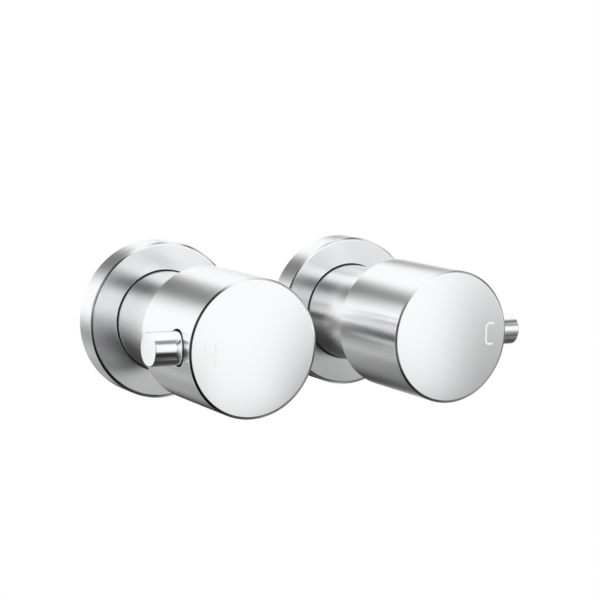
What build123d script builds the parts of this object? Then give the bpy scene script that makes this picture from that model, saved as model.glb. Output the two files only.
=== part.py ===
from build123d import *
import os

# Pair of quarter-turn wall taps, in millimetres. The finished wall is the plane Y = 0, with the room
# on its -Y side, +Z up and the hot tap on the -X side. The origin lies on the wall, midway between
# the two taps. Each tap is round about an axis along Y. "Out" is a distance from the wall into the
# room, so what lies behind the wall has a negative one.

spacing = 75.4

# Flange: a round cup on the wall, with its open side to the back.
flange_radius = 27.3
flange_thickness = 9.7
flange_wall = 2.4
flange_gap = 0.3

# Neck sleeve, pushed over the corners of the headwork's hexagon.
neck_radius = 17.3
neck_length = 30.2
sleeve_wall = 2.0
sleeve_off_wall = 0.8
sleeve_gap = 0.03

# Knob, turned from the solid, which runs just clear of the sleeve's end.
knob_radius = 22.5
knob_length = 35.4
knob_chamfer = 0.6
knob_running_gap = 0.35

# Lever: a plain round pin on a threaded shank, in a recess a little wider than itself.
lever_radius = 5.4
lever_reach = 9.4
lever_setback = 9.9
lever_recess_gap = 0.4
lever_recess_depth = 2.5
lever_shank_radius = 3.0
lever_shank_length = 9.0
lever_drill_tip = 0.5
lever_thread_gap = 0.03

# Plastic insert in the knob, six-sided outside and square inside.
insert_across_flats = 11.0
insert_length = 20.0
insert_gap = 0.03
insert_end_gap = 0.3

# Headwork: half-inch pipe thread in front of the cage, and a hexagon that bears on the wall.
pipe_thread_radius = 10.48
pipe_thread_length = 10.0
hexagon_height = 9.0
cage_radius = 9.0
cage_wall = 1.5
chamber_roof_depth = 9.0
window_width = 10.0
window_height = 4.0
ear_width = 4.0
ear_gap = 0.1

# Ceramic discs, in the order that the water meets them, and the seal that holds them in.
disc_gap = 0.15
disc_thickness = 2.6
lapped_gap = 0.02
port_inner_radius = 2.0
port_outer_radius = 5.6
port_half_angle = 36.0
seat_seal_height = 4.6
seat_seal_bore = 4.9
seat_seal_proud = 1.2
seat_seal_gap = 0.1

# Spindle: driver with a stop notch and two prongs, round stem, and a long square end.
stem_radius = 5.0
stem_gap = 0.05
stem_land = 1.5
driver_gap = 0.3
driver_thickness = 2.2
thrust_gap = 0.05
gallery_height = 3.6
prong_inner_radius = 4.4
prong_half_angle = 15.0
prong_depth = 1.5
prong_gap = 0.1
prong_play_angle = 1.0
stop_inner_radius = 5.7
stop_half_angle = 10.0
stop_play_angle = 1.5
stop_gap = 0.2
quarter_turn = 90.0
spindle_square = 6.4
spindle_end_gap = 0.3

# Places along a tap's axis, in front of the wall.
knob_back = flange_thickness + neck_length
knob_front = knob_back + knob_length
sleeve_front = knob_back - knob_running_gap
stem_end = hexagon_height + stem_land
insert_end = knob_back + insert_length
spindle_end = insert_end - spindle_end_gap
knob_bore_end = insert_end + insert_end_gap
lever_out = knob_front - lever_setback

# Places along a tap's axis, behind the wall.
driver_top = -chamber_roof_depth - thrust_gap
driver_bottom = driver_top - driver_thickness
moving_disc_top = driver_bottom - gallery_height
moving_disc_bottom = moving_disc_top - disc_thickness
fixed_disc_top = moving_disc_bottom - lapped_gap
fixed_disc_bottom = fixed_disc_top - disc_thickness
seat_seal_end = fixed_disc_bottom - seat_seal_height
cage_end = seat_seal_end + seat_seal_proud
window_out = (driver_bottom + moving_disc_top) / 2

# Radii that follow from their mates.
sleeve_bore = neck_radius - sleeve_wall
hexagon_corner_radius = sleeve_bore - sleeve_gap
stem_bore = stem_radius + stem_gap
chamber_radius = cage_radius - cage_wall
disc_radius = chamber_radius - disc_gap
driver_radius = chamber_radius - driver_gap
lever_recess_radius = lever_radius + lever_recess_gap
lever_seat = knob_radius - lever_recess_depth
lever_tip = knob_radius + lever_reach
lever_shank_end = lever_seat - lever_shank_length


class Tap:
    """One tap of the pair: its side, and the directions in which its lever points and opens."""

    def __init__(self, name, side):
        self.name = name
        self.x = side * spacing / 2
        self.lever_angle = 0 if side > 0 else 180
        self.turn = side
        self.axis = Axis((self.x, 0, 0), (0, -1, 0))
        self.section = Plane(origin=(self.x, 0, 0), x_dir=(1, 0, 0), z_dir=(0, 0, -1))

    def across(self, out):
        """The plane square to the axis at this distance out, facing the room, with +Z as its y."""
        return Plane(origin=(self.x, -out, 0), x_dir=(1, 0, 0), z_dir=(0, -1, 0))

    def sideways(self, out, angle, radius):
        """The plane square to a radius of the tap, that far from its axis and facing away from it."""
        facing = Vector(1, 0, 0).rotate(Axis.Y, -angle)
        start = Vector(self.x, -out, 0) + facing * radius
        return Plane(origin=start, x_dir=(0, -1, 0), z_dir=facing)

    def at(self, angle):
        """An angle counted from the lever at rest towards the way it opens."""
        return self.lever_angle + self.turn * angle


def sector(inner, outer, middle, half_angle):
    """A ring's sector about the origin, from its two radii, its middle direction and half its angle."""
    with BuildSketch() as outline:
        with BuildLine():
            near = CenterArc((0, 0), inner, middle - half_angle, 2 * half_angle)
            far = CenterArc((0, 0), outer, middle - half_angle, 2 * half_angle)
            Line(near @ 0, far @ 0)
            Line(near @ 1, far @ 1)
        make_face()
    return outline.sketch


def flange(tap):
    """The round cup on the wall, bored for the sleeve."""
    bore = neck_radius + flange_gap
    inside = flange_radius - flange_wall
    floor = flange_thickness - flange_wall
    with BuildPart() as piece:
        with BuildSketch(tap.section):
            with BuildLine():
                Polyline(
                    (bore, flange_thickness),
                    (bore, floor),
                    (inside, floor),
                    (inside, 0),
                    (flange_radius, 0),
                    (flange_radius, flange_thickness),
                    close=True,
                )
            make_face()
        revolve(axis=tap.axis)
    return piece


def sleeve(tap):
    """The neck tube, from just off the wall to just behind the knob."""
    with BuildPart() as piece:
        with BuildSketch(tap.across(sleeve_off_wall)):
            Circle(neck_radius)
            Circle(sleeve_bore, mode=Mode.SUBTRACT)
        extrude(amount=sleeve_front - sleeve_off_wall)
    return piece


def headwork_body(tap):
    """The brass body: hexagon, pipe thread and cage, bored for the spindle and the discs."""
    with BuildPart() as piece:
        with BuildSketch(tap.section):
            with BuildLine():
                Polyline(
                    (chamber_radius, cage_end),
                    (cage_radius, cage_end),
                    (cage_radius, -pipe_thread_length),
                    (pipe_thread_radius, -pipe_thread_length),
                    (pipe_thread_radius, 0),
                    (stem_bore, 0),
                    (stem_bore, -chamber_roof_depth),
                    (chamber_radius, -chamber_roof_depth),
                    close=True,
                )
            make_face()
        revolve(axis=tap.axis)
        with BuildSketch(tap.across(0)):
            RegularPolygon(hexagon_corner_radius, 6)
            Circle(stem_bore, mode=Mode.SUBTRACT)
        extrude(amount=hexagon_height)
        with BuildSketch(tap.sideways(window_out, 90, 0)):
            Rectangle(window_height, window_width)
        extrude(amount=cage_radius, both=True, mode=Mode.SUBTRACT)
        with BuildSketch(tap.across(cage_end)):
            Rectangle(2 * pipe_thread_radius, ear_width + 2 * ear_gap)
        extrude(amount=fixed_disc_top - cage_end, mode=Mode.SUBTRACT)
        with BuildSketch(tap.across(driver_bottom)):
            add(sector(stop_inner_radius, cage_radius - cage_wall / 2, tap.at(225), stop_half_angle))
        extrude(amount=-chamber_roof_depth - driver_bottom)
    return piece


def fixed_disc(tap):
    """The ceramic disc that stays still, with two ports and two ears in the cage's slots."""
    with BuildSketch() as ears:
        Circle(cage_radius)
        Rectangle(2 * cage_radius, ear_width, mode=Mode.INTERSECT)
    with BuildPart() as piece:
        with BuildSketch(tap.across(fixed_disc_bottom)):
            Circle(disc_radius)
            add(ears.sketch)
            for angle in (90, 270):
                add(sector(port_inner_radius, port_outer_radius, angle, port_half_angle), mode=Mode.SUBTRACT)
        extrude(amount=disc_thickness)
    return piece


def seat_seal(tap):
    """The rubber ring that holds the discs in the cage and meets the valve's seat."""
    with BuildPart() as piece:
        with BuildSketch(tap.across(seat_seal_end)):
            Circle(chamber_radius - seat_seal_gap)
            Circle(seat_seal_bore, mode=Mode.SUBTRACT)
        extrude(amount=seat_seal_height)
    return piece


def moving_disc(tap):
    """The ceramic disc that turns: its ports lie across the fixed ones at rest, notched for the prongs."""
    with BuildPart() as piece:
        with BuildSketch(tap.across(moving_disc_bottom)):
            Circle(disc_radius)
            for angle in (0, 180):
                add(sector(port_inner_radius, port_outer_radius, angle, port_half_angle), mode=Mode.SUBTRACT)
        extrude(amount=disc_thickness)
        with BuildSketch(tap.across(moving_disc_top - prong_depth)):
            for angle in (90, 270):
                half_angle = prong_half_angle + prong_play_angle
                add(sector(prong_inner_radius - prong_gap, cage_radius, angle, half_angle))
        extrude(amount=prong_depth, mode=Mode.SUBTRACT)
    return piece


def spindle(tap):
    """Driver with its stop notch and prongs, stem, and the square that carries the knob."""
    notch_half_angle = quarter_turn / 2 + stop_half_angle + stop_play_angle
    with BuildPart() as piece:
        with BuildSketch(tap.across(driver_bottom)):
            Circle(driver_radius)
            notch = sector(stop_inner_radius - stop_gap, cage_radius, tap.at(180), notch_half_angle)
            add(notch, mode=Mode.SUBTRACT)
        extrude(amount=driver_thickness)
        prong_end = moving_disc_top - prong_depth + prong_gap
        with BuildSketch(tap.across(prong_end)):
            for angle in (90, 270):
                add(sector(prong_inner_radius, driver_radius, angle, prong_half_angle))
        extrude(amount=driver_bottom - prong_end)
        with BuildSketch(tap.across(driver_top)):
            Circle(stem_radius)
        extrude(amount=stem_end - driver_top)
        with BuildSketch(tap.across(stem_end)):
            Rectangle(spindle_square, spindle_square)
        extrude(amount=spindle_end - stem_end)
    return piece


def handle_insert(tap):
    """The plastic bush between the spindle's square and the knob."""
    square_hole = spindle_square + 2 * insert_gap
    with BuildPart() as piece:
        with BuildSketch(tap.across(knob_back)):
            RegularPolygon(insert_across_flats / 2, 6, major_radius=False)
            Rectangle(square_hole, square_hole, mode=Mode.SUBTRACT)
        extrude(amount=insert_length)
    return piece


def knob(tap):
    """The round handle, with a six-sided bore for the insert and a recess and hole for the lever."""
    with BuildPart() as piece:
        with BuildSketch(tap.across(knob_back)):
            Circle(knob_radius)
            RegularPolygon(insert_across_flats / 2 + insert_gap, 6, major_radius=False, mode=Mode.SUBTRACT)
        extrude(amount=knob_bore_end - knob_back)
        with BuildSketch(tap.across(knob_bore_end)):
            Circle(knob_radius)
        extrude(amount=knob_front - knob_bore_end)
        chamfer(piece.edges().filter_by(GeomType.CIRCLE).sort_by(tap.axis)[-1], knob_chamfer)
        with BuildSketch(tap.sideways(lever_out, tap.lever_angle, lever_seat)):
            Circle(lever_recess_radius)
        extrude(amount=knob_radius, mode=Mode.SUBTRACT)
        with BuildSketch(tap.sideways(lever_out, tap.lever_angle, lever_shank_end - lever_drill_tip)):
            Circle(lever_shank_radius + lever_thread_gap)
        extrude(amount=lever_shank_length + 2 * lever_drill_tip, mode=Mode.SUBTRACT)
    return piece


def lever(tap):
    """The pin that the hand pushes, with its shank in the knob."""
    with BuildPart() as piece:
        with BuildSketch(tap.sideways(lever_out, tap.lever_angle, lever_seat)):
            Circle(lever_radius)
        extrude(amount=lever_tip - lever_seat)
        with BuildSketch(tap.sideways(lever_out, tap.lever_angle, lever_shank_end)):
            Circle(lever_shank_radius)
        extrude(amount=lever_shank_length)
    return piece


os.makedirs("parts", exist_ok=True)

sub_parts = {
    "flange": flange,
    "sleeve": sleeve,
    "headwork_body": headwork_body,
    "fixed_disc": fixed_disc,
    "seat_seal": seat_seal,
    "moving_disc": moving_disc,
    "spindle": spindle,
    "handle_insert": handle_insert,
    "knob": knob,
    "lever": lever,
}

for tap in (Tap("hot", -1), Tap("cold", 1)):
    for name, make in sub_parts.items():
        piece = make(tap)
        piece.part.label = f"{tap.name}_{name}"
        export_step(piece.part, f"parts/{piece.part.label}.step")
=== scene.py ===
# %% [markdown]
# # A pair of chrome wall taps
#
# Two quarter-turn taps stand out of a wall, hot on the left and cold on the right. Each has a round
# flange, a tube for its neck and a knob like a short drum, with a stub of a lever in its side. Behind
# the flange is the brass headwork that does the work.
#
# Polished chrome has hardly a colour of its own: it shows the room. So this lesson spends its effort on
# three things: edges that are truly shaped, a finish with the faint unevenness of real plating, and a
# studio with cards in the right places, as a product photographer sets them for shiny metal.

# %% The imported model
import math
import bmesh
import bpy
from mathutils import Matrix, Vector


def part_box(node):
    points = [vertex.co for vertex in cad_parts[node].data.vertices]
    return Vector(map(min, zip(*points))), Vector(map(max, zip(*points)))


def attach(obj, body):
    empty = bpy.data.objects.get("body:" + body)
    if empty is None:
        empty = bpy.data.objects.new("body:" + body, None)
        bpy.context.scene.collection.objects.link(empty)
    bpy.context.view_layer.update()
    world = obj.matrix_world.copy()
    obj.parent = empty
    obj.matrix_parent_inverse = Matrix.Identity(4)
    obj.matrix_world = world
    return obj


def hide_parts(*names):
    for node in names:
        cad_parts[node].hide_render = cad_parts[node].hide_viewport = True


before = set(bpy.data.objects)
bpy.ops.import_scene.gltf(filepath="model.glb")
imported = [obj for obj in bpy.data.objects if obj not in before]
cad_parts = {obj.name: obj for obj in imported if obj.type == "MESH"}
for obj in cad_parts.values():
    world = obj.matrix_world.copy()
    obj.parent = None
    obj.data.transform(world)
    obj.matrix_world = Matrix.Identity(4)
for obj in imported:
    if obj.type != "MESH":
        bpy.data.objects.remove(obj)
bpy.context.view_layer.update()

# %% [markdown]
# ## Measuring the model
#
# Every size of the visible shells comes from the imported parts, so that a shell always fits its part.
# A tap is round about a line along Y, and "out" is the distance from the wall into the room, which is
# minus Y. One small class keeps what the later steps ask of a tap.

# %% One tap of the pair
MM = 0.001


class Tap:
    """The measures of one tap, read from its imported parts, in metres."""

    def __init__(self, name):
        self.name = name
        self.handle = f"{name}_handle"
        low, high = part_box(f"{name}_flange")
        self.x = (low.x + high.x) / 2
        self.side = math.copysign(1, self.x)
        self.flange_radius = (high.x - low.x) / 2
        self.flange_front = -low.y
        low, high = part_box(f"{name}_sleeve")
        self.neck_radius = (high.x - low.x) / 2
        self.sleeve_back, self.sleeve_front = -high.y, -low.y
        low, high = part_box(f"{name}_knob")
        self.knob_radius = (high.z - low.z) / 2
        self.knob_back, self.knob_front = -high.y, -low.y
        low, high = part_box(f"{name}_lever")
        self.lever_radius = (high.z - low.z) / 2
        self.lever_out = -(low.y + high.y) / 2
        reaches = sorted(abs(x - self.x) for x in (low.x, high.x))
        self.lever_shank_end, self.lever_tip = reaches
        low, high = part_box(f"{name}_headwork_body")
        self.hexagon_corner = (high.x - low.x) / 2
        self.hexagon_front, self.cage_end = -low.y, -high.y
        low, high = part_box(f"{name}_seat_seal")
        self.seal_radius = (high.x - low.x) / 2
        self.seal_front, self.seal_end = -low.y, -high.y
        low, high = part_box(f"{name}_handle_insert")
        self.insert_flats = (high.z - low.z) / 2
        self.insert_front = -low.y
        self.place = aimed(Vector((self.x, 0, 0)), Vector((0, -1, 0)))
        self.lever_place = aimed(Vector((self.x, -self.lever_out, 0)), Vector((self.side, 0, 0)))


def aimed(origin, direction):
    """The frame at a point whose own Z runs along a direction."""
    return Matrix.Translation(origin) @ direction.to_track_quat("Z", "Y").to_matrix().to_4x4()


taps = [Tap("hot"), Tap("cold")]
for tap in taps:
    sizes = f"knob radius {tap.knob_radius / MM:.1f}, front {tap.knob_front / MM:.1f} mm out"
    print(f"{tap.name}: x {tap.x / MM:.1f}, {sizes}")

# %% [markdown]
# ## Round edges from a profile
#
# Nearly everything here was turned on a lathe, so nearly everything is a profile spun about an axis.
# A profile is a list of corners, each with its own edge radius. Rounding them in the profile is neater
# than a bevel afterwards: the arc meets the flats exactly. A support point just beside each arc keeps
# the shading of the large flat faces truly flat, which matters in a mirror finish.

# %% Rounding a profile's corners
SUPPORT = 0.04 * MM


def rounded(corners, closed, steps=7):
    """The points of a profile whose corners (radius, along, edge) are rounded by their edge radius."""
    points = []
    count = len(corners)
    for index, (radius, along, edge) in enumerate(corners):
        here = Vector((radius, along))
        open_end = not closed and index in (0, count - 1)
        if edge == 0 or open_end:
            points.append(here)
            continue
        before = (Vector(corners[index - 1][:2]) - here).normalized()
        after = (Vector(corners[(index + 1) % count][:2]) - here).normalized()
        half = before.angle(after) / 2
        tangent = edge / math.tan(half)
        centre = here + (before + after).normalized() * edge / math.sin(half)
        first = here + before * tangent - centre
        last = here + after * tangent - centre
        points.append(here + before * (tangent + SUPPORT))
        for step in range(steps + 1):
            share = step / steps
            spread = math.pi - 2 * half
            weights = math.sin((1 - share) * spread), math.sin(share * spread)
            points.append(centre + (first * weights[0] + last * weights[1]) / math.sin(spread))
        points.append(here + after * (tangent + SUPPORT))
    return points


right_angle = [(0, 0, 0), (2 * MM, 0, MM), (2 * MM, 2 * MM, 0)]
print("a rounded corner takes", len(rounded(right_angle, False)) - 2, "points")


# %% A finished mesh
SMOOTH_UP_TO = 35


def finished(name, shape, place, smooth_angle=SMOOTH_UP_TO):
    """A new object in its own frame from a bmesh, with smooth faces that stay sharp at real corners."""
    bmesh.ops.recalc_face_normals(shape, faces=shape.faces)
    mesh = bpy.data.meshes.new(name)
    shape.to_mesh(mesh)
    shape.free()
    mesh.shade_smooth()
    mesh.set_sharp_from_angle(angle=math.radians(smooth_angle))
    piece = bpy.data.objects.new(name, mesh)
    bpy.context.scene.collection.objects.link(piece)
    piece.matrix_world = place
    return piece


# %% Spinning a profile
ON_AXIS = 1e-9


def around(radius, angle):
    """The point at a radius and an angle about the origin."""
    return radius * math.cos(angle), radius * math.sin(angle)


def turned(name, corners, place, closed=False, segments=240):
    """A profile spun about the frame's Z: a closed one makes a ring, an open one ends on the axis."""
    profile = rounded(corners, closed)
    shape = bmesh.new()
    rings = []
    for point in profile:
        if point.x < ON_AXIS:
            rings.append([shape.verts.new((0, 0, point.y))])
            continue
        angles = [math.tau * step / segments for step in range(segments)]
        rings.append([shape.verts.new((*around(point.x, angle), point.y)) for angle in angles])
    pairs = list(zip(rings, rings[1:]))
    if closed:
        pairs.append((rings[-1], rings[0]))
    for near, far in pairs:
        for step in range(segments):
            after = (step + 1) % segments
            # a point on the axis is a ring of one, and a repeated corner drops out of the keys
            corners_of_face = {near[step % len(near)]: 0, near[after % len(near)]: 0}
            corners_of_face.update({far[after % len(far)]: 0, far[step % len(far)]: 0})
            shape.faces.new(list(corners_of_face))
    return finished(name, shape, place)


# %% Prisms and cuts
def prism(name, outline, place, start, end):
    """A straight solid between two heights of the frame's Z, from a flat outline."""
    shape = bmesh.new()
    near = [shape.verts.new((x, y, start)) for x, y in outline]
    far = [shape.verts.new((x, y, end)) for x, y in outline]
    shape.faces.new(near)
    shape.faces.new(far)
    for index in range(len(outline)):
        after = (index + 1) % len(outline)
        shape.faces.new((near[index], near[after], far[after], far[index]))
    return finished(name, shape, place)


def hexagon(corner_radius):
    """The six corners of a hexagon."""
    return [around(corner_radius, math.pi / 3 * k) for k in range(6)]


def combine(piece, tools, operation="DIFFERENCE"):
    """The piece cut by, or kept within, the tools, which are used up."""
    for tool in tools:
        modifier = piece.modifiers.new("shape", "BOOLEAN")
        modifier.operation = operation
        modifier.solver = "EXACT"
        modifier.object = tool
    bpy.context.view_layer.update()
    evaluated = piece.evaluated_get(bpy.context.evaluated_depsgraph_get())
    mesh = bpy.data.meshes.new_from_object(evaluated)
    piece.modifiers.clear()
    piece.data = mesh
    mesh.shade_smooth()
    mesh.set_sharp_from_angle(angle=math.radians(SMOOTH_UP_TO))
    for tool in tools:
        bpy.data.objects.remove(tool)
    return piece


# %% [markdown]
# ## Shader arithmetic
#
# A finish is easier to read as a formula than as a web of nodes. `Wire` wraps a socket, so that
# `0.05 + 0.03 * smudge` adds the Math nodes by itself. Every other node comes from `Finish.node`,
# which sets the node's own settings first and then its sockets.

# %% A socket with arithmetic
class Wire:
    """An output socket that can be added, subtracted, multiplied and divided."""

    def __init__(self, finish, socket):
        self.finish = finish
        self.socket = socket

    def calculate(self, operation, first, second):
        return self.finish.node("ShaderNodeMath", {"operation": operation}, {0: first, 1: second})

    def __add__(self, other):
        return self.calculate("ADD", self, other)

    def __radd__(self, other):
        return self.calculate("ADD", other, self)

    def __sub__(self, other):
        return self.calculate("SUBTRACT", self, other)

    def __rsub__(self, other):
        return self.calculate("SUBTRACT", other, self)

    def __mul__(self, other):
        return self.calculate("MULTIPLY", self, other)

    def __rmul__(self, other):
        return self.calculate("MULTIPLY", other, self)

    def __truediv__(self, other):
        return self.calculate("DIVIDE", self, other)

    def __rtruediv__(self, other):
        return self.calculate("DIVIDE", other, self)


class Finish:
    """A material, or the world, being wired up."""

    def __init__(self, owner):
        owner.use_nodes = True
        self.tree = owner.node_tree
        self.tree.nodes.clear()

    def node(self, kind, settings=None, sockets=None, output=0):
        """Adds a node: its settings first, then the values or links of its sockets."""
        node = self.tree.nodes.new(kind)
        for name, value in (settings or {}).items():
            setattr(node, name, value)
        for name, value in (sockets or {}).items():
            if isinstance(value, Wire):
                self.tree.links.new(value.socket, node.inputs[name])
            else:
                node.inputs[name].default_value = value
        return Wire(self, node.outputs[output]) if node.outputs else node


# %% [markdown]
# ## The finishes
#
# Photographs of metal could be wrapped round the parts. Noise needs no unwrapping, has no seams and stays
# sharp close by, so each finish here is a Principled shader with a noise at the scale of the real surface.
# Chrome gets a whisper of wiping marks in its roughness and a very shallow waviness, brass shows its
# turning marks, rubber and ceramic have a fine grain. Object coordinates are in metres here, so a
# noise scale of 60 has features about 17 mm across.
#
# A barrel was polished while it spun, which leaves hair-fine rings under the chrome. Rings smear a
# reflection across themselves: along the axis on a barrel, and outwards from the middle on a flat face
# that was turned. The anisotropic setting does that. Without a tangent of its own, Cycles lays it round
# the object's Z, which is the lathe's axis here, and a quarter turn sets it square to the rings. Levers,
# chamfers and the knobs' front faces were buffed to a plain mirror instead.

# %% Two helpers for varied surfaces
BROAD_DETAIL = 3.0
FINE_DETAIL = 2.0
FINER = 9
EVEN = (1, 1, 1)


def mottle(finish, scale, detail, stretch):
    """A soft noise from 0 to 1 over the object, stretched along its axes."""
    coordinates = finish.node("ShaderNodeTexCoord", output="Object")
    stretched = finish.node("ShaderNodeMapping", {}, {"Vector": coordinates, "Scale": stretch})
    sockets = {"Vector": stretched, "Scale": scale, "Detail": detail}
    return finish.node("ShaderNodeTexNoise", {}, sockets)


def surface(name, colours, roughness, spread, metallic, grain, depth, stretch=EVEN, **constants):
    """A Principled finish: two colours mixed by a noise, a roughness that it varies, and a bump."""
    material = bpy.data.materials.new(name)
    finish = Finish(material)
    broad = mottle(finish, grain, BROAD_DETAIL, stretch)
    # a colour mix takes its two colours in sockets 6 and 7 and gives the result as output 2
    ends = {"Factor": broad, 6: (*colours[0], 1), 7: (*colours[1], 1)}
    blend = finish.node("ShaderNodeMix", {"data_type": "RGBA"}, ends, output=2)
    fine = mottle(finish, grain * FINER, FINE_DETAIL, stretch)
    bump = finish.node("ShaderNodeBump", {}, {"Strength": 1.0, "Distance": depth, "Height": fine})
    varied = roughness + spread * broad
    sockets = {"Base Color": blend, "Roughness": varied, "Metallic": metallic, "Normal": bump}
    sockets.update(constants)
    shader = finish.node("ShaderNodeBsdfPrincipled", {}, sockets)
    finish.node("ShaderNodeOutputMaterial", {}, {"Surface": shader})
    return material


# %% The chromes
METAL = 1.0
CHROME_TONES = [(0.965, 0.968, 0.973), (0.982, 0.983, 0.986)]
CHROME_WAVES = 0.0003 * MM
ACROSS_THE_RINGS = {"Anisotropic": 0.74, "Anisotropic Rotation": 0.25}

barrel_chrome = surface(
    "barrel_chrome", CHROME_TONES, roughness=0.172, spread=0.03,
    metallic=METAL, grain=60.0, depth=CHROME_WAVES, **ACROSS_THE_RINGS,
)
faced_chrome = surface(
    "faced_chrome", CHROME_TONES, roughness=0.2, spread=0.03,
    metallic=METAL, grain=60.0, depth=CHROME_WAVES, **ACROSS_THE_RINGS,
)
polished_chrome = surface(
    "polished_chrome", CHROME_TONES, roughness=0.09, spread=0.03,
    metallic=METAL, grain=80.0, depth=CHROME_WAVES,
)
print("chromes:", barrel_chrome.name, faced_chrome.name, polished_chrome.name)

# %% The other metals
# a dark grey casting finish for narrow hollows, dark enough to paint in the shade of those gaps
casting_and_painted_shade = surface(
    "casting_and_painted_shade", [(0.18, 0.18, 0.185), (0.28, 0.28, 0.285)], roughness=0.5, spread=0.1,
    metallic=METAL, grain=300.0, depth=0.01 * MM,
)
brass = surface(
    "turned_brass", [(0.78, 0.58, 0.27), (0.86, 0.68, 0.36)], roughness=0.22, spread=0.12,
    metallic=METAL, grain=90.0, depth=0.01 * MM, stretch=(1, 14, 1),
)
steel = surface(
    "spring_steel", [(0.55, 0.55, 0.57), (0.66, 0.66, 0.68)], roughness=0.3, spread=0.1,
    metallic=METAL, grain=200.0, depth=0.004 * MM,
)
print("other metals:", casting_and_painted_shade.name, brass.name, steel.name)

# %% Rubber, ceramic, nylon and enamel
NOT_METAL = 0.0
rubber = surface(
    "seal_rubber", [(0.018, 0.018, 0.02), (0.035, 0.035, 0.038)], roughness=0.55, spread=0.15,
    metallic=NOT_METAL, grain=300.0, depth=0.02 * MM,
)
ceramic = surface(
    "lapped_ceramic", [(0.84, 0.83, 0.79), (0.9, 0.89, 0.86)], roughness=0.18, spread=0.06,
    metallic=NOT_METAL, grain=400.0, depth=0.002 * MM,
)
nylon = surface(
    "moulded_nylon", [(0.72, 0.72, 0.69), (0.8, 0.8, 0.77)], roughness=0.42, spread=0.1,
    metallic=NOT_METAL, grain=250.0, depth=0.01 * MM,
)
enamel = surface(
    "index_enamel", [(0.96, 0.96, 0.96), (0.985, 0.985, 0.985)], roughness=0.4, spread=0.1,
    metallic=NOT_METAL, grain=500.0, depth=0.004 * MM,
)
print("materials:", len(bpy.data.materials))


# %% Dressing a piece
def dress(piece, material, body, slot, *nodes):
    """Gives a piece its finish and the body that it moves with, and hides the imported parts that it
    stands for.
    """
    piece.data.materials.clear()
    piece.data.materials.append(material)
    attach(piece, body)
    if nodes:
        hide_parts(*nodes)
    return piece


# %% Another finish on part of a piece
def refinish(piece, material, place, radii, heights):
    """Gives the faces within a range of radius and height, in a place's own frame, another finish."""
    piece.data.materials.append(material)
    index = len(piece.data.materials) - 1
    measure = place.inverted() @ piece.matrix_world
    for face in piece.data.polygons:
        points = [measure @ piece.data.vertices[corner].co for corner in face.vertices]
        in_radii = all(radii[0] <= point.xy.length <= radii[1] for point in points)
        if in_radii and all(heights[0] <= point.z <= heights[1] for point in points):
            face.material_index = index


# %% [markdown]
# ## Flange and neck
#
# The flange is a cup whose open side lies on the wall. The neck is a plain tube. Both could be cylinders
# with modifiers that hollow and bevel them, but a spun profile gives every wall and edge its own measure.
# The black line between the two is painted shade for the gap, made as the lip of a black rubber seal
# that grips the neck and keeps splashes out of the wall. It could be painted on. As a ring of its own it
# stays right from any side.
#
# The fine dark line along the rim of a chromed disc is a narrow polished chamfer, which leans only 20
# degrees and so mirrors another part of the room than the face beside it does. It is part of the
# profile, with its own finish.

# %% The flange
FLANGE_WALL = 2.4 * MM
FLANGE_GAP = 0.42 * MM
FLANGE_RIM = 0.8 * MM
FLANGE_FILLET = 0.8 * MM
FLANGE_LIP = 0.15 * MM
RIM_SLOPE = math.tan(math.radians(20))
RIM_BLEND = 1.5 * MM
POLISHED_PAST_RIM = 0.3 * MM
EDGE = 0.08 * MM
CRISP = 0.2 * MM
SOFT = 0.3 * MM


def make_flange(tap):
    bore = tap.neck_radius + FLANGE_GAP
    inside = tap.flange_radius - FLANGE_WALL
    floor = tap.flange_front - FLANGE_WALL
    rim_drop = FLANGE_RIM * RIM_SLOPE
    corners = [
        (bore, floor, 0.0),
        (inside, floor, FLANGE_FILLET),
        (inside, 0.0, FLANGE_LIP),
        (tap.flange_radius, 0.0, SOFT),
        (tap.flange_radius, tap.flange_front - rim_drop, EDGE),
        (tap.flange_radius - FLANGE_RIM, tap.flange_front, RIM_BLEND),
        (bore, tap.flange_front, CRISP),
    ]
    piece = turned(f"{tap.name}_flange_shell", corners, tap.place, closed=True)
    dress(piece, barrel_chrome, "root", "chrome", f"{tap.name}_flange")
    rim = tap.flange_radius - FLANGE_RIM - POLISHED_PAST_RIM
    front = tap.flange_front - EDGE / 2
    outer = tap.flange_radius + EDGE
    refinish(piece, faced_chrome, tap.place, (bore, rim + EDGE), (front, front + EDGE))
    refinish(piece, polished_chrome, tap.place, (rim, outer), (front - rim_drop, front + EDGE))
    # the inside of the cup gets the dark casting finish, painted shade for the cavity behind the neck's
    # gap
    refinish(piece, casting_and_painted_shade, tap.place, (0, inside + EDGE / 2), (-EDGE, floor + EDGE / 2))
    return piece


print(f"rim chamfer: {FLANGE_RIM / MM:.1f} mm wide, {FLANGE_RIM * RIM_SLOPE / MM:.2f} mm deep")


# %% The neck and its seal
SLEEVE_WALL = 2.0 * MM
SEAL_CLEARANCE = 0.02 * MM
SEAL_ABOVE_FLOOR = 0.3 * MM
SEAL_BELOW_FACE = 0.2 * MM


def make_neck(tap):
    bore = tap.neck_radius - SLEEVE_WALL
    corners = [
        (bore, tap.sleeve_back, CRISP),
        (tap.neck_radius, tap.sleeve_back, CRISP),
        (tap.neck_radius, tap.sleeve_front, SOFT),
        (bore, tap.sleeve_front, CRISP),
    ]
    piece = turned(f"{tap.name}_neck_shell", corners, tap.place, closed=True)
    return dress(piece, barrel_chrome, "root", "chrome", f"{tap.name}_sleeve")


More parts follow.
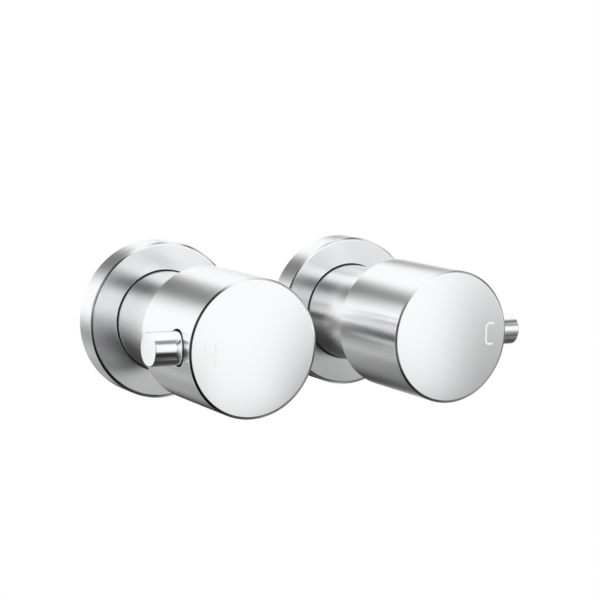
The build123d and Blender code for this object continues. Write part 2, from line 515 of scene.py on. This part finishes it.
def make_neck_seal_painted_shade(tap):
    # a black rubber ring in the flange's gap, which stands in for the gap's shade as painted shade
    inner = tap.neck_radius + SEAL_CLEARANCE
    outer = tap.neck_radius + FLANGE_GAP
    back = tap.flange_front - FLANGE_WALL + SEAL_ABOVE_FLOOR
    front = tap.flange_front - SEAL_BELOW_FACE
    outline = [(inner, back), (outer, back), (outer, front), (inner, front)]
    corners = [(radius, along, CRISP) for radius, along in outline]
    piece = turned(f"{tap.name}_neck_seal", corners, tap.place, closed=True)
    return dress(piece, rubber, "root", "seal_rubber")


for tap in taps:
    print(make_flange(tap).name, make_neck(tap).name, make_neck_seal_painted_shade(tap).name)

# %% [markdown]
# ## Knob and lever
#
# The knob is a drum whose front rim has the same narrow chamfer as the flange. In its side is a round
# recess, a little wider than the lever that is screwed into it, so a dark ring shows at the lever's
# root. A boolean cut makes the recess, and only its rim is bevelled afterwards, because that edge lies
# on a curved surface where a profile can't reach it. Plating hardly reaches into so narrow a gap, so the
# walls of the recess get a dark grey casting finish, which also paints in the gap's shade. The small
# screw underneath clamps the knob.

# %% Holes in the knob's side
RIM_BEVEL = 0.15 * MM
ON_SURFACE = 0.02 * MM


def drill(radius, floor, outside, place, segments):
    """A round tool that cuts from a floor outwards along the frame's Z."""
    corners = [(0, floor, 0), (radius, floor, 0), (radius, outside, 0), (0, outside, 0)]
    return turned("cut", corners, place, segments=segments)


def bevel_rims(piece, tap, holes):
    """Rounds the edges where round holes come out of the knob's side."""
    shape = bmesh.new()
    shape.from_mesh(piece.data)
    rims = []
    for edge in shape.edges:
        for place, radius in holes:
            to_hole = place.inverted() @ piece.matrix_world
            ends = [to_hole @ vertex.co for vertex in edge.verts]
            on_hole = all(abs(end.xy.length - radius) < ON_SURFACE and end.z > 0 for end in ends)
            reaches = [vertex.co.xy.length for vertex in edge.verts]
            on_side = all(abs(reach - tap.knob_radius) < ON_SURFACE for reach in reaches)
            if on_hole and on_side:
                rims.append(edge)
    bmesh.ops.bevel(shape, geom=rims, offset=RIM_BEVEL, segments=3, affect="EDGES", profile=0.5)
    shape.to_mesh(piece.data)
    shape.free()
    piece.data.shade_smooth()
    piece.data.set_sharp_from_angle(angle=math.radians(SMOOTH_UP_TO))
    return len(rims)


# %% The knob
KNOB_RIM = 0.8 * MM
KNOB_RIM_BLEND = 0.6 * MM
KNOB_BACK_EDGE = 0.5 * MM
RECESS_GAP = 0.6 * MM
RECESS_DEPTH = 3.5 * MM
GRUB_RADIUS = 2.5 * MM
SOCKET_PLAY = 0.03 * MM
SOCKET_RUN_OUT = 0.3 * MM
WELL_BEYOND = 1.2


def make_knob(tap):
    """Makes a knob and gives the place of its screw hole."""
    rim_drop = KNOB_RIM * RIM_SLOPE
    corners = [
        (0.0, tap.knob_back, 0.0),
        (tap.knob_radius, tap.knob_back, KNOB_BACK_EDGE),
        (tap.knob_radius, tap.knob_front - rim_drop, EDGE),
        (tap.knob_radius - KNOB_RIM, tap.knob_front, KNOB_RIM_BLEND),
        (0.0, tap.knob_front, 0.0),
    ]
    piece = turned(f"{tap.name}_knob_shell", corners, tap.place)
    recess_radius = tap.lever_radius + RECESS_GAP
    recess_floor = tap.knob_radius - RECESS_DEPTH
    outside = tap.knob_radius * WELL_BEYOND
    recess = drill(recess_radius, recess_floor, outside, tap.lever_place, 120)
    grub_out = (tap.knob_back + tap.insert_front) / 2
    grub_place = aimed(Vector((tap.x, -grub_out, 0)), Vector((0, 0, -1)))
    grub_hole = drill(GRUB_RADIUS, tap.insert_flats, outside, grub_place, 60)
    corner = (tap.insert_flats + SOCKET_PLAY) / math.cos(math.pi / 6)
    socket_floor = tap.insert_front + SOCKET_RUN_OUT
    socket = prism("cut", hexagon(corner), tap.place, tap.knob_back - MM, socket_floor)
    combine(piece, [recess, grub_hole, socket])
    rims = bevel_rims(piece, tap, [(tap.lever_place, recess_radius), (grub_place, GRUB_RADIUS)])
    print(piece.name, "rim edges", rims)
    dress(piece, barrel_chrome, tap.handle, "chrome", f"{tap.name}_knob")
    front = tap.knob_front - rim_drop - EDGE / 2
    outer = tap.knob_radius + EDGE
    refinish(piece, polished_chrome, tap.place, (0, outer), (front, tap.knob_front + EDGE))
    below_rim = tap.knob_radius - RIM_BEVEL
    # the walls of the lever's recess and of the screw hole get the dark casting finish, painted shade for
    # the gaps
    refinish(piece, casting_and_painted_shade, tap.lever_place, (0, recess_radius + EDGE / 2), (0, below_rim))
    refinish(piece, casting_and_painted_shade, grub_place, (0, GRUB_RADIUS + EDGE / 2), (0, below_rim))
    return grub_place


# %% The grub screw
GRUB_DEPTH = 1.2 * MM
GRUB_PLAY = 0.05 * MM
TIP_SHARE = 0.8
TIP_LENGTH = 0.7 * MM
KEY_CORNER = 1.25 * MM
KEY_DEPTH = 2.2 * MM


def make_grub_screw(tap, place):
    top = tap.knob_radius - GRUB_DEPTH
    radius = GRUB_RADIUS - GRUB_PLAY
    tip = tap.insert_flats + GRUB_PLAY
    corners = [
        (0.0, tip, 0.0),
        (radius * TIP_SHARE, tip, CRISP),
        (radius, tap.insert_flats + TIP_LENGTH, 0.0),
        (radius, top, SOFT),
        (0.0, top, 0.0),
    ]
    piece = turned(f"{tap.name}_grub_screw", corners, place, segments=60)
    socket = prism("cut", hexagon(KEY_CORNER), place, top - KEY_DEPTH, top + MM)
    combine(piece, [socket])
    return dress(piece, steel, tap.handle, None)


# %% The lever
SHANK_RADIUS = 3.0 * MM
SHANK_EDGE = 0.4 * MM
LEVER_EDGE = 0.45 * MM


def make_lever(tap):
    seat = tap.knob_radius - RECESS_DEPTH
    corners = [
        (0.0, tap.lever_shank_end, 0.0),
        (SHANK_RADIUS, tap.lever_shank_end, SHANK_EDGE),
        (SHANK_RADIUS, seat, 0.0),
        (tap.lever_radius, seat, CRISP),
        (tap.lever_radius, tap.lever_tip, LEVER_EDGE),
        (0.0, tap.lever_tip, 0.0),
    ]
    piece = turned(f"{tap.name}_lever_shell", corners, tap.lever_place, segments=180)
    return dress(piece, polished_chrome, tap.handle, "chrome", f"{tap.name}_lever")


for tap in taps:
    make_grub_screw(tap, make_knob(tap))
    print(make_lever(tap).name)

# %% [markdown]
# ## Index letters
#
# A thin H and C are set into the faces beside the levers. A text object would need a font of just this
# shape. A few strokes of even width are simpler: a curve with a round bevel gives them, and squeezed
# flat, they stand a hair above the face.

# %% Strokes of the letters
# in a box one unit wide and one high, each corner with a radius that is a share of the width
LETTER_STROKES = {
    "hot": [[(0, 0, 0), (0, 1, 0)], [(1, 0, 0), (1, 1, 0)], [(0, 0.5, 0), (1, 0.5, 0)]],
    "cold": [[(1, 1, 0), (0, 1, 0.4), (0, 0, 0.4), (0.9, 0, 0)]],
}
LETTER_SIZES = {"hot": (3.7 * MM, 7.6 * MM), "cold": (3.3 * MM, 7.1 * MM)}
LETTER_PLACES = {"hot": (-15.25 * MM, -1.3 * MM), "cold": (15.95 * MM, 0.4 * MM)}
print("strokes:", {name: len(strokes) for name, strokes in LETTER_STROKES.items()})

# %% The letters
STROKE = 0.36 * MM
FLATTENED = 0.12


def make_letter(tap):
    curve = bpy.data.curves.new("stroke", "CURVE")
    curve.dimensions = "3D"
    curve.bevel_depth = STROKE
    curve.bevel_resolution = 4
    curve.use_fill_caps = True
    width, height = LETTER_SIZES[tap.name]
    for stroke in LETTER_STROKES[tap.name]:
        sized = [(u * width, v * height, r * width) for u, v, r in stroke]
        points = rounded(sized, False)
        spline = curve.splines.new("POLY")
        spline.points.add(len(points) - 1)
        for slot, point in zip(spline.points, points):
            slot.co = (point.x - width / 2, 0, point.y - height / 2, 1)
    drawn = bpy.data.objects.new("stroke", curve)
    bpy.context.scene.collection.objects.link(drawn)
    bpy.context.view_layer.update()
    evaluated = drawn.evaluated_get(bpy.context.evaluated_depsgraph_get())
    mesh = bpy.data.meshes.new_from_object(evaluated)
    bpy.data.objects.remove(drawn)
    across, up = LETTER_PLACES[tap.name]
    on_face = Matrix.Translation((tap.x + across, -tap.knob_front, up))
    mesh.transform(on_face @ Matrix.Diagonal((1, FLATTENED, 1, 1)))
    mesh.name = f"{tap.name}_letter"
    mesh.shade_smooth()
    piece = bpy.data.objects.new(f"{tap.name}_letter", mesh)
    bpy.context.scene.collection.objects.link(piece)
    return dress(piece, enamel, tap.handle, None)


for tap in taps:
    print(make_letter(tap).name)

# %% [markdown]
# ## The headwork
#
# The brass body shows from behind. Its thread could come from a screw modifier, but that leaves open
# ends. Here the radius of each point follows from its height along the axis and its angle, so the ridge
# climbs one pitch in each turn, runs out at both ends and stays one closed skin. The hexagon has the
# turned chamfer of a real nut, made by keeping only what lies within a coned disc.

# %% The thread
PITCH = 1.814 * MM
THREAD_DEPTH = 1.16 * MM
THREAD_LENGTH = 10.0 * MM
THREAD_RADIUS = 10.48 * MM
ROOT_SHARE = 0.1
FLANK_SHARE = 0.8
RUN_OUT = 0.5 * PITCH
CAGE_RADIUS = 9.0 * MM


def thread_height(turns, room):
    """The ridge's height, from 0 to 1, by its phase in turns and its room to the thread's nearer end."""
    phase = abs((turns % 1.0) * 2 - 1)
    ridge = min(1.0, max(0.0, (phase - ROOT_SHARE) / FLANK_SHARE))
    ridge = ridge * ridge * (3 - 2 * ridge)
    return ridge * min(1.0, room / RUN_OUT)


def make_thread(tap, segments=144, rows_in_a_pitch=12):
    rows = math.ceil(THREAD_LENGTH / PITCH * rows_in_a_pitch)
    angles = [math.tau * step / segments for step in range(segments)]
    shape = bmesh.new()
    rings = []
    for row in range(rows + 1):
        along = -THREAD_LENGTH * row / rows
        room = min(-along, THREAD_LENGTH + along)
        ring = []
        for step, angle in enumerate(angles):
            height = thread_height(along / PITCH + step / segments, room)
            radius = THREAD_RADIUS - THREAD_DEPTH * (1 - height)
            ring.append(shape.verts.new((*around(radius, angle), along)))
        rings.append(ring)
    for along in (-THREAD_LENGTH, 0.0):
        rings.append([shape.verts.new((*around(CAGE_RADIUS, angle), along)) for angle in angles])
    for near, far in zip(rings, rings[1:] + rings[:1]):
        for step in range(segments):
            after = (step + 1) % segments
            shape.faces.new((near[step], near[after], far[after], far[step]))
    return finished("thread", shape, tap.place, smooth_angle=50)


print(f"thread: {THREAD_LENGTH / PITCH:.1f} turns, core {(THREAD_RADIUS - THREAD_DEPTH) / MM:.2f} mm")


# %% A rectangle with round corners
def rounded_rectangle(width, height, corner, steps=5):
    """The corners of a rectangle with round corners, about the origin."""
    outline = []
    for quarter, (sx, sy) in enumerate([(1, 1), (-1, 1), (-1, -1), (1, -1)]):
        for step in range(steps + 1):
            angle = math.pi / 2 * (quarter + step / steps)
            x = sx * (width / 2 - corner) + corner * math.cos(angle)
            y = sy * (height / 2 - corner) + corner * math.sin(angle)
            outline.append((x, y))
    return outline


# %% The cage
STEM_BORE = 5.05 * MM
CHAMBER_RADIUS = 7.5 * MM
CHAMBER_ROOF = 9.0 * MM
CAGE_EDGE = 0.25 * MM
WINDOW_WIDTH = 10.0 * MM
WINDOW_HEIGHT = 4.0 * MM
WINDOW_OUT = -13.05 * MM
WINDOW_CORNER = 1.0 * MM
EAR_SLOT_WIDTH = 4.2 * MM
EAR_SLOT_FRONT = -17.47 * MM


def make_cage(tap):
    """The part behind the wall, with its water windows and the slots for the fixed disc's ears."""
    corners = [
        (CHAMBER_RADIUS, tap.cage_end, CAGE_EDGE),
        (CAGE_RADIUS, tap.cage_end, SOFT),
        (CAGE_RADIUS, 0.0, 0.0),
        (STEM_BORE, 0.0, 0.0),
        (STEM_BORE, -CHAMBER_ROOF, 0.0),
        (CHAMBER_RADIUS, -CHAMBER_ROOF, 0.0),
    ]
    piece = turned("cage", corners, tap.place, closed=True, segments=144)
    across = aimed(Vector((tap.x, -WINDOW_OUT, 0)), Vector((0, 0, 1)))
    beyond = CAGE_RADIUS * WELL_BEYOND
    opening = rounded_rectangle(WINDOW_WIDTH, WINDOW_HEIGHT, WINDOW_CORNER)
    window = prism("cut", opening, across, -beyond, beyond)
    ears = rounded_rectangle(2 * beyond, EAR_SLOT_WIDTH, SOFT)
    slot = prism("cut", ears, tap.place, tap.cage_end - MM, EAR_SLOT_FRONT)
    return combine(piece, [window, slot])


print(f"windows: {WINDOW_WIDTH / MM:.0f} by {WINDOW_HEIGHT / MM:.0f} mm")


# %% The hexagon
NUT_CHAMFER = 0.55
PAST_CORNERS = 1.01
SEAL_POCKET_RADIUS = 6.8 * MM
SEAL_POCKET_DEPTH = 2.2 * MM


def make_hexagon(tap):
    """The spanner hexagon, chamfered like a nut, with a pocket for the stem's seal."""
    piece = prism("hexagon", hexagon(tap.hexagon_corner), tap.place, 0.0, tap.hexagon_front)
    flats = tap.hexagon_corner * math.cos(math.pi / 6)
    slope = (tap.hexagon_corner - flats) * NUT_CHAMFER
    widest = tap.hexagon_corner * PAST_CORNERS
    corners = [
        (0, 0, 0),
        (flats, 0, 0),
        (widest, slope, 0),
        (widest, tap.hexagon_front - slope, 0),
        (flats, tap.hexagon_front, 0),
        (0, tap.hexagon_front, 0),
    ]
    cone = turned("keep", corners, tap.place, segments=144)
    combine(piece, [cone], "INTERSECT")
    pocket_floor = tap.hexagon_front - SEAL_POCKET_DEPTH
    above = tap.hexagon_front + MM
    corners = [
        (0, -MM, 0),
        (STEM_BORE, -MM, 0),
        (STEM_BORE, pocket_floor, 0),
        (SEAL_POCKET_RADIUS, pocket_floor, 0),
        (SEAL_POCKET_RADIUS, above, 0),
        (0, above, 0),
    ]
    return combine(piece, [turned("cut", corners, tap.place, segments=96)])


# %% One body from three
def joined(name, place, parts):
    """One object from several that share a frame, whose shells stay whole."""
    shape = bmesh.new()
    for part in parts:
        shape.from_mesh(part.data)
        bpy.data.objects.remove(part)
    return finished(name, shape, place, smooth_angle=40)


for tap in taps:
    parts = [make_thread(tap), make_cage(tap), make_hexagon(tap)]
    body = joined(f"{tap.name}_headwork", tap.place, parts)
    dress(body, brass, "root", "brass", f"{tap.name}_headwork_body")
    print(body.name, len(body.data.polygons), "faces")

# %% [markdown]
# ## Seals and clip
#
# The seat seal at the very back has soft round lips. Inside the neck, a ring seals the stem in its
# pocket and a spring clip keeps the spindle from dropping through. Both are too small for the packed
# model, but a tap without them would leak. The seals are spun like the rest. The clip is stamped from
# sheet in real life, so it is a flat outline pushed up straight.

# %% The seals
SEAL_BORE = 4.9 * MM
LIP_INSIDE = 0.6 * MM
LIP_OUTSIDE = 0.7 * MM
STEM_RADIUS = 5.0 * MM
RING_RADIUS = 0.85 * MM
RING_LIFT = 0.05 * MM
RING_STEPS = 20


def make_seat_seal(tap):
    corners = [
        (SEAL_BORE, tap.seal_end, LIP_INSIDE),
        (tap.seal_radius, tap.seal_end, LIP_OUTSIDE),
        (tap.seal_radius, tap.seal_front, CRISP),
        (SEAL_BORE, tap.seal_front, CRISP),
    ]
    piece = turned(f"{tap.name}_seat_seal_moulded", corners, tap.place, closed=True, segments=120)
    return dress(piece, rubber, "root", "seal_rubber", f"{tap.name}_seat_seal")


def make_stem_seal(tap):
    middle = STEM_RADIUS + RING_RADIUS + SEAL_CLEARANCE
    height = tap.hexagon_front - SEAL_POCKET_DEPTH + RING_RADIUS + RING_LIFT
    section = [around(RING_RADIUS, math.tau * k / RING_STEPS) for k in range(RING_STEPS)]
    corners = [(middle + across, height + along, 0) for across, along in section]
    piece = turned(f"{tap.name}_stem_seal", corners, tap.place, closed=True, segments=96)
    return dress(piece, rubber, "root", "seal_rubber")


# %% The clip
CLIP_RADIUS = 7.0 * MM
CLIP_OPENING = math.radians(70)
CLIP_THICKNESS = 0.9 * MM
CLIP_PLAY = 0.03 * MM
CLIP_LIFT = 0.1 * MM
CLIP_STEPS = 60


def make_clip(tap):
    near = tap.hexagon_front + CLIP_LIFT
    start, sweep = CLIP_OPENING / 2, math.tau - CLIP_OPENING
    angles = [start + sweep * k / CLIP_STEPS for k in range(CLIP_STEPS + 1)]
    outline = [around(CLIP_RADIUS, angle) for angle in angles]
    outline += [around(STEM_RADIUS + CLIP_PLAY, angle) for angle in reversed(angles)]
    piece = prism(f"{tap.name}_clip", outline, tap.place, near, near + CLIP_THICKNESS)
    return dress(piece, steel, tap.handle, None)


for tap in taps:
    print(make_seat_seal(tap).name, make_stem_seal(tap).name, make_clip(tap).name)

# %% [markdown]
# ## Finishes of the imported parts
#
# The spindle, the two ceramic discs and the insert could be made anew like the rest. They are right as
# they were packed, and hardly show, so they only get their finish.

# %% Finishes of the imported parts
PACKED = {"spindle": brass, "fixed_disc": ceramic, "moving_disc": ceramic, "handle_insert": nylon}
for tap in taps:
    for part, material in PACKED.items():
        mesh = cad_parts[f"{tap.name}_{part}"].data
        mesh.materials.clear()
        mesh.materials.append(material)
        print(tap.name, part, material.name)

# %% [markdown]
# ## The studio
#
# Floor and backdrop are white, and a large soft lamp hangs overhead. The floor lies well below, as it
# would under taps on a wall. A picture of a room could be wrapped round the scene instead, but plain
# white is what a product photograph needs. The camera and mirrors see pure white, and only the light
# that the backdrop casts on matt surfaces is turned down a little.

# %% The backdrop
WHITE = (1, 1, 1, 1)
SKY_FILL = 0.95


def seen_directly(finish):
    """1 for rays from the camera, a mirror or glass, and 0 for the rays that light a matt surface."""
    camera = finish.node("ShaderNodeLightPath", output="Is Camera Ray")
    glossy = finish.node("ShaderNodeLightPath", output="Is Glossy Ray")
    through = finish.node("ShaderNodeLightPath", output="Is Transmission Ray")
    either = camera.calculate("MAXIMUM", camera, glossy)
    return camera.calculate("MAXIMUM", either, through)


world = bpy.data.worlds.new("studio")
bpy.context.scene.world = world
sky = Finish(world)
strength = SKY_FILL + (1 - SKY_FILL) * seen_directly(sky)
light = sky.node("ShaderNodeBackground", {}, {"Color": WHITE, "Strength": strength})
sky.node("ShaderNodeOutputWorld", {}, {"Surface": light})
print("backdrop lights matt surfaces with", SKY_FILL)

# %% The floor
FLOOR_DROP = 1.6
FLOOR_SIZE = 60.0
PAPER_TONE = (0.9, 0.9, 0.9, 1)

shape = bmesh.new()
bmesh.ops.create_grid(shape, x_segments=8, y_segments=8, size=FLOOR_SIZE / 2)
floor = finished("floor", shape, Matrix.Translation((0, 0, -FLOOR_DROP)))
paper = bpy.data.materials.new("white_paper")
finish = Finish(paper)
matt = finish.node("ShaderNodeBsdfDiffuse", {}, {"Color": PAPER_TONE})
white = finish.node("ShaderNodeEmission", {}, {"Color": WHITE, "Strength": 1.0})
blend = finish.node("ShaderNodeMixShader", {}, {0: seen_directly(finish), 1: matt, 2: white})
finish.node("ShaderNodeOutputMaterial", {}, {"Surface": blend})
floor.data.materials.append(paper)
print("floor", FLOOR_DROP, "m below the taps")

# %% The lamp
LAMP_SIZE = 1.2
LAMP_WATTS = 1.5
LAMP_PLACE = Vector((-0.2, -0.5, 1.4))
TOWARDS_LAMP = Vector((-0.15, -0.35, 1.0))

lamp_data = bpy.data.lights.new("overhead", "AREA")
lamp_data.shape = "DISK"
lamp_data.size = LAMP_SIZE
lamp_data.energy = LAMP_WATTS
lamp = bpy.data.objects.new("overhead", lamp_data)
bpy.context.scene.collection.objects.link(lamp)
lamp.matrix_world = aimed(LAMP_PLACE, TOWARDS_LAMP.normalized())
lamp.visible_glossy = False
print("lamp of", LAMP_WATTS, "W at", LAMP_PLACE.to_tuple())

# %% [markdown]
# ## The light tent
#
# Chrome shows all that stands around it. Photographers put it into a light tent, a white cloth dome
# with grey and black cards inside, so that every barrel gets its bright and dark bands. This tent does
# the same. Only reflections see it, so it neither hides the backdrop nor shades a rubber seal.
#
# Real planes could stand round the taps, but they would need placing one by one and have hard edges.
# Here the dome's material works out, for each point of it, how far inside every card it lies. Each card
# is a soft-edged oval, given by its direction from the tent's middle. Azimuth 0 is straight out into the
# room, 90 is to the right and 180 is behind the wall. A card lies over those before it, so a white one
# can open a window in a black one. The dome is small, 40 cm in radius, and so the two taps see the
# cards shifted against each other, as they would in a real tent. Where the cards hang was worked out
# backwards: a ray that leaves the camera and bounces off a band on the metal ends at the card that
# the band mirrors.

# %% The cards
CARDS = [
    # azimuth, elevation, half width, half height and tilt in degrees, then the tone from 0 to 1
    (30.5, -31.9, 59.5, 15.3, 17.5, 0.007),
    (-9.3, 22.3, 20.6, 13.3, -48.4, 0.038),
    (-168.2, 24.5, 12.7, 13.3, 16.9, 0.142),
    (160.7, -19.1, 16.4, 28.4, 7.3, 0.000),
    (-151.9, -17.3, 5.7, 13.6, -2.8, 0.000),
    (-164.3, -44.6, 26.4, 19.8, 4.8, 0.210),
    (59.9, 30.2, 17.5, 52.7, 47.4, 0.050),
    (-28.9, 47.3, 15.2, 15.4, 0.2, 0.053),
    (69.7, -75.0, 60.0, 46.3, 28.8, 0.049),
    (57.9, -21.4, 6.3, 10.9, 6.7, 0.381),
    (-172.7, -19.6, 11.8, 12.2, 2.2, 0.361),
    (156.3, 4.3, 17.2, 6.8, -5.1, 1.000),
    (-61.6, -32.2, 10.2, 38.8, 3.3, 0.324),
    (143.6, 17.8, 10.0, 8.4, 0.8, 0.357),
    (93.8, 62.8, 9.6, 3.0, -1.0, 0.324),
    (-16.9, -26.5, 25.0, 33.6, -3.4, 0.004),
    (-7.8, -1.1, 19.6, 3.0, 1.4, 0.404),
    (43.4, -19.5, 4.5, 17.0, 9.0, 0.376),
    (-12.5, 2.1, 14.2, 18.8, -5.5, 0.000),
    (-68.4, 0.5, 8.9, 13.5, 1.1, 0.647),
    (5.4, 47.4, 9.3, 16.3, -1.6, 1.000),
    (52.9, -54.5, 9.9, 9.3, 0.3, 0.746),
    (11.9, -18.9, 5.9, 10.7, 1.4, 0.000),
    (71.3, 26.0, 18.9, 8.1, -9.2, 1.000),
    (35.1, 39.6, 7.8, 8.8, -1.5, 1.000),
    (29.7, -21.6, 4.8, 13.9, 6.4, 0.102),
    (29.8, -21.0, 14.3, 6.6, 6.8, 0.000),
    (47.3, 47.6, 12.2, 10.2, -0.3, 1.000),
    (-150.1, 38.6, 8.7, 8.2, 0.1, 0.222),
    (77.3, 15.7, 7.7, 6.9, 0.0, 0.846),
]
print(len(CARDS), "cards")

# %% How far a card reaches
LEAST_AHEAD = 0.05


def card_cover(finish, direction, azimuth, elevation, half_width, half_height, tilt):
    """How much of a direction a card covers: 1 in its middle, falling softly to 0 past its edge."""
    turn = Matrix.Rotation(math.radians(azimuth), 3, "Z")
    turn = turn @ Matrix.Rotation(math.radians(-elevation), 3, "X")
    turn = turn @ Matrix.Rotation(math.radians(-tilt), 3, "Y")
    middle = turn @ Vector((0, -1, 0))
    across = turn @ Vector((1, 0, 0)) / math.tan(math.radians(half_width))
    up = turn @ Vector((0, 0, 1)) / math.tan(math.radians(half_height))
    dots = []
    for axis in (middle, across, up):
        settings, sockets = {"operation": "DOT_PRODUCT"}, {0: direction, 1: tuple(axis)}
        dots.append(finish.node("ShaderNodeVectorMath", settings, sockets, output="Value"))
    ahead = dots[0].calculate("MAXIMUM", dots[0], LEAST_AHEAD)
    reach = (dots[1] * dots[1] + dots[2] * dots[2]) / (ahead * ahead)
    in_front = dots[0].calculate("GREATER_THAN", dots[0], LEAST_AHEAD)
    return in_front * reach.calculate("EXPONENT", 0.0 - reach * reach, 0.0)


# %% The cloth
CLOTH_WHITE = (0.99, 0.995, 1.0, 1)
BLACK = (0, 0, 0, 1)

cloth = bpy.data.materials.new("tent_cloth")
finish = Finish(cloth)
place = finish.node("ShaderNodeTexCoord", output="Object")
direction = finish.node("ShaderNodeVectorMath", {"operation": "NORMALIZE"}, {0: place})
tone = 1.0
for *card, card_tone in CARDS:
    cover = card_cover(finish, direction, *card)
    tone = tone * (1 - cover) + card_tone * cover
lit = finish.node("ShaderNodeEmission", {}, {"Color": CLOTH_WHITE, "Strength": 1.0})
unlit = finish.node("ShaderNodeEmission", {}, {"Color": BLACK, "Strength": 1.0})
glow = finish.node("ShaderNodeMixShader", {}, {0: tone, 1: unlit, 2: lit})
finish.node("ShaderNodeOutputMaterial", {}, {"Surface": glow})
cloth.cycles.emission_sampling = "NONE"
print(cloth.name, "has", len(cloth.node_tree.nodes), "nodes")

# %% The dome
TENT_RADIUS = 0.4
TENT_CENTRE = Vector((0, -0.05, 0))

shape = bmesh.new()
bmesh.ops.create_icosphere(shape, subdivisions=5, radius=TENT_RADIUS)
tent = finished("light_tent", shape, Matrix.Translation(TENT_CENTRE))
tent.data.materials.append(cloth)
tent.visible_camera = tent.visible_diffuse = tent.visible_shadow = False
tent.visible_transmission = False
print("tent", TENT_RADIUS, "m in radius")

# %% [markdown]
# ## The camera
#
# The taps are seen from the left and slightly above, through a long lens. It could be placed by eye,
# but these numbers come from fitting the outlines of both taps to the photograph, with all of them
# moved at once until the outlines met.

# %% The camera
CAMERA_TARGET = Vector((0.02236, 0.0, 0.00348))
CAMERA_AZIMUTH = math.radians(-30.26)
CAMERA_ELEVATION = math.radians(7.43)
CAMERA_ROLL = math.radians(1.74)
CAMERA_DISTANCE = 0.60906
CAMERA_LENS = 98.857
SENSOR_WIDTH = 36.0

towards_camera = Vector((
    math.sin(CAMERA_AZIMUTH) * math.cos(CAMERA_ELEVATION),
    -math.cos(CAMERA_AZIMUTH) * math.cos(CAMERA_ELEVATION),
    math.sin(CAMERA_ELEVATION),
))
camera_data = bpy.data.cameras.new("camera")
camera_data.lens = CAMERA_LENS
camera_data.sensor_width = SENSOR_WIDTH
camera = bpy.data.objects.new("camera", camera_data)
bpy.context.scene.collection.objects.link(camera)
camera_place = aimed(CAMERA_TARGET + towards_camera * CAMERA_DISTANCE, towards_camera)
camera.matrix_world = camera_place @ Matrix.Rotation(CAMERA_ROLL, 4, "Z")
bpy.context.scene.camera = camera
bpy.context.scene.view_settings.view_transform = "Standard"
print("camera at", [round(value, 3) for value in camera.matrix_world.translation])
